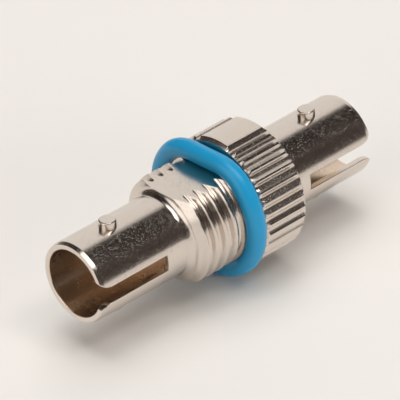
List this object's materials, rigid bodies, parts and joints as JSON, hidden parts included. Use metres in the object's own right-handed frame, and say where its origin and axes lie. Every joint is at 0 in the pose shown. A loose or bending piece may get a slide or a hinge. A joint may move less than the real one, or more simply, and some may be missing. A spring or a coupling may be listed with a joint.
{
  "type": "st fibre adapter",
  "caption": "Barrel-shaped fibre coupler with a keyed bayonet socket at each end, a flatted panel thread, a knurled stop collar and a blue sealing ring.",
  "frame": {"origin": "the point on the axis where the two ferrules meet, half way along the adapter and its sleeve", "axes": "+X along the adapter from the front socket, which has the threaded section, to the rear socket; +Z out of the top lugs and the upper flat; the key slots face -Y"},
  "size_m": [0.0298, 0.0125, 0.0119],
  "materials": {
    "nickel_plate": "bright nickel plate on turned brass",
    "sleeve_bronze": "smooth spring bronze",
    "blue_rubber": "semi-matt blue rubber"
  },
  "bodies": {
    "root": {"front_body": "nickel_plate", "rear_barrel": "nickel_plate", "front_lug_top": "nickel_plate", "front_lug_bottom": "nickel_plate", "rear_lug_top": "nickel_plate", "rear_lug_bottom": "nickel_plate", "alignment_sleeve": "sleeve_bronze", "o_ring": "blue_rubber"}
  },
  "joints": []
}
